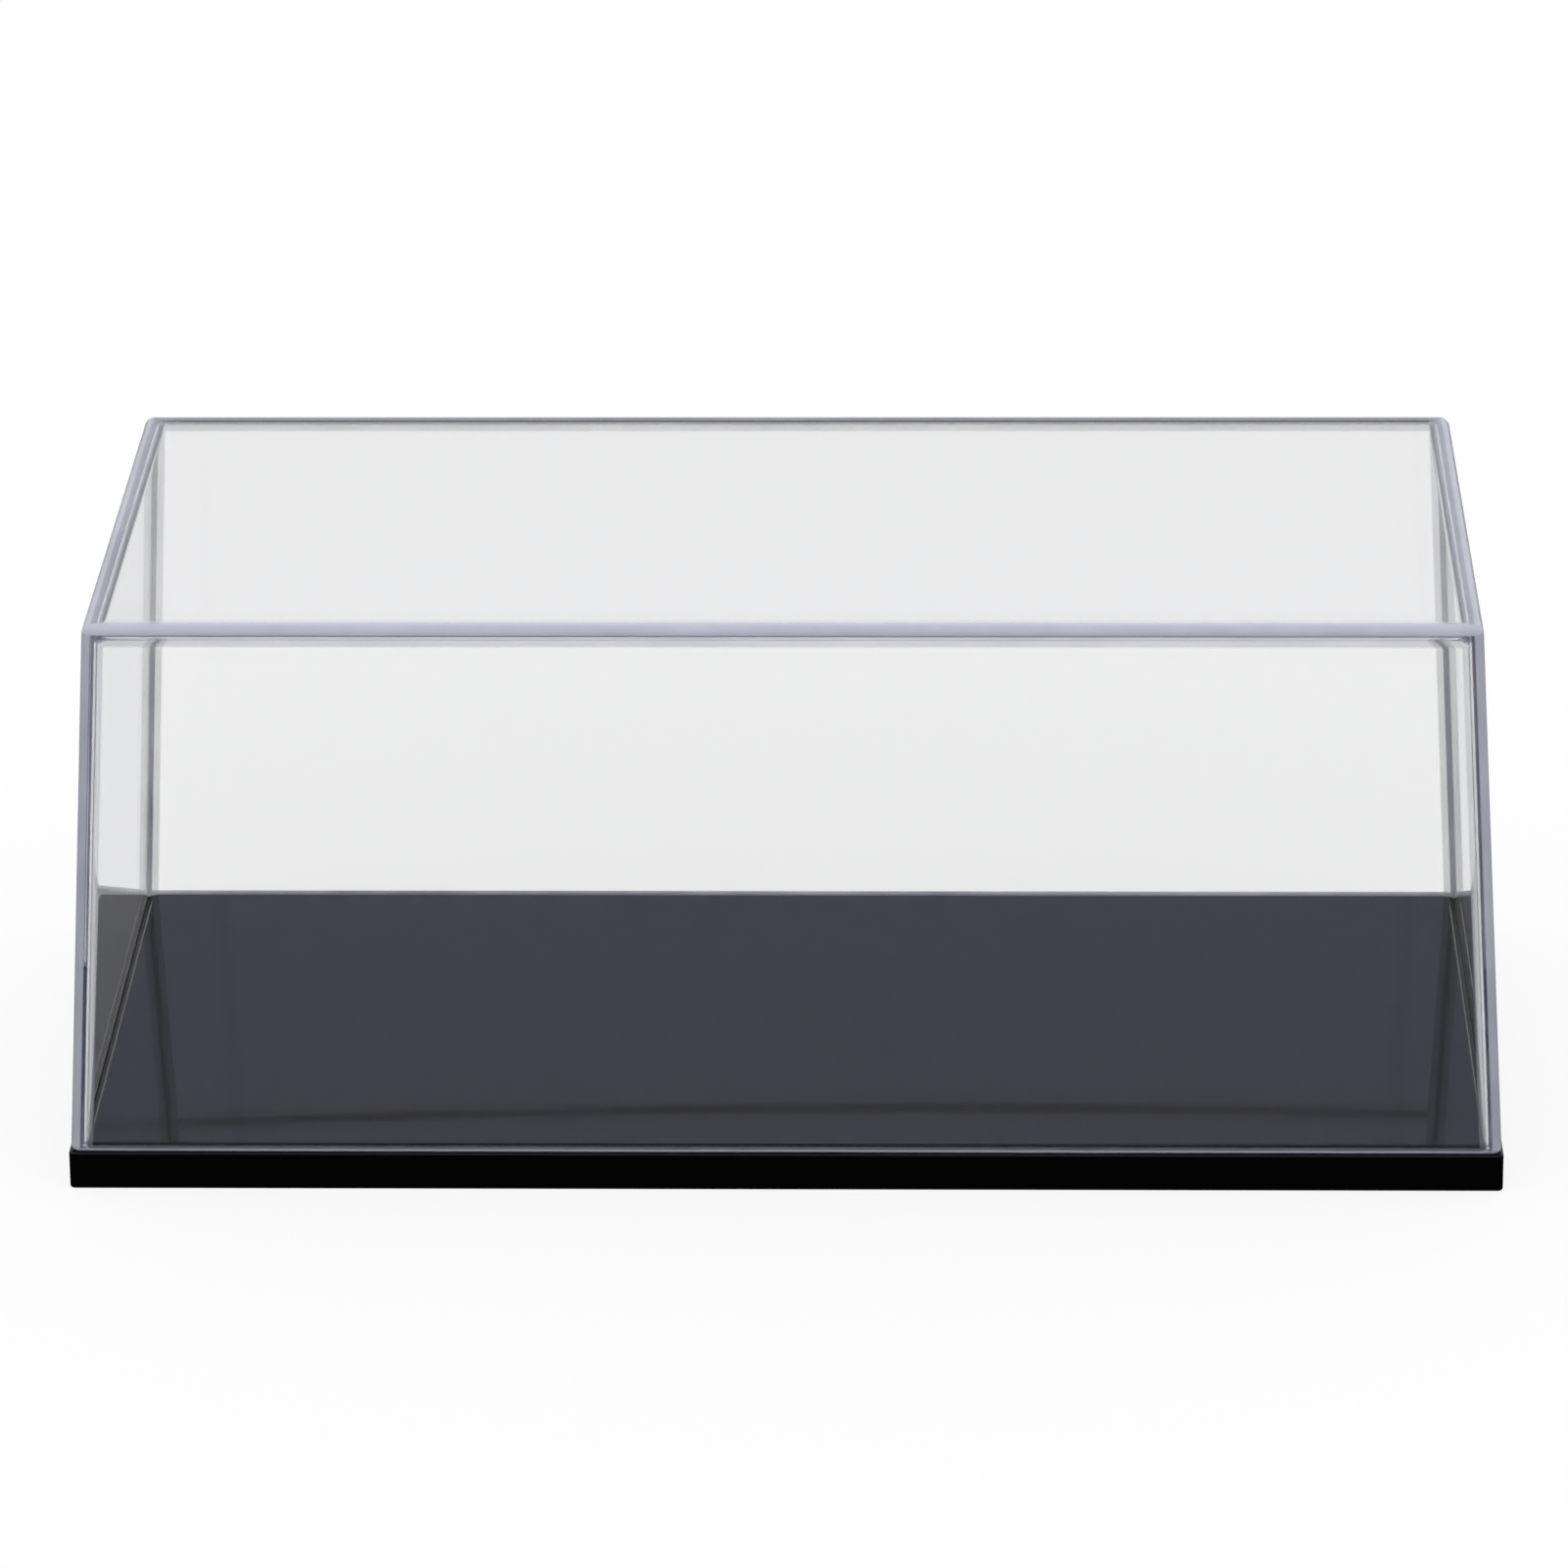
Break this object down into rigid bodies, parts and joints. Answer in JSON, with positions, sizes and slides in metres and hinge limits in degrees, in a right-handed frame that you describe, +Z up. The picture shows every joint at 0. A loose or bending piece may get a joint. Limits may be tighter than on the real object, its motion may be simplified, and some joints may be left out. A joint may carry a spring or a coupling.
{
  "type": "display case",
  "caption": "Clear moulded plastic display case: a five-sided transparent cover standing on a thin gloss black base, lifted straight off to place a small model or collectible inside.",
  "frame": {"origin": "middle of the base's footprint, on the surface that the case stands on", "axes": "+X along the long side, to the right seen from the front; -Y towards the viewer at the front; +Z up"},
  "size_m": [0.14, 0.07, 0.0575],
  "materials": {
    "clear_plastic": "polished, transparent",
    "black_plastic": "high gloss"
  },
  "bodies": {
    "base": {"black_base": "black_plastic"},
    "cover": {"clear_cover": "clear_plastic"}
  },
  "joints": [
    {"name": "cover_lift", "type": "slide", "parent": "base", "child": "cover", "axis": [0, 0, 1], "range_m": [0, 0.065]}
  ]
}
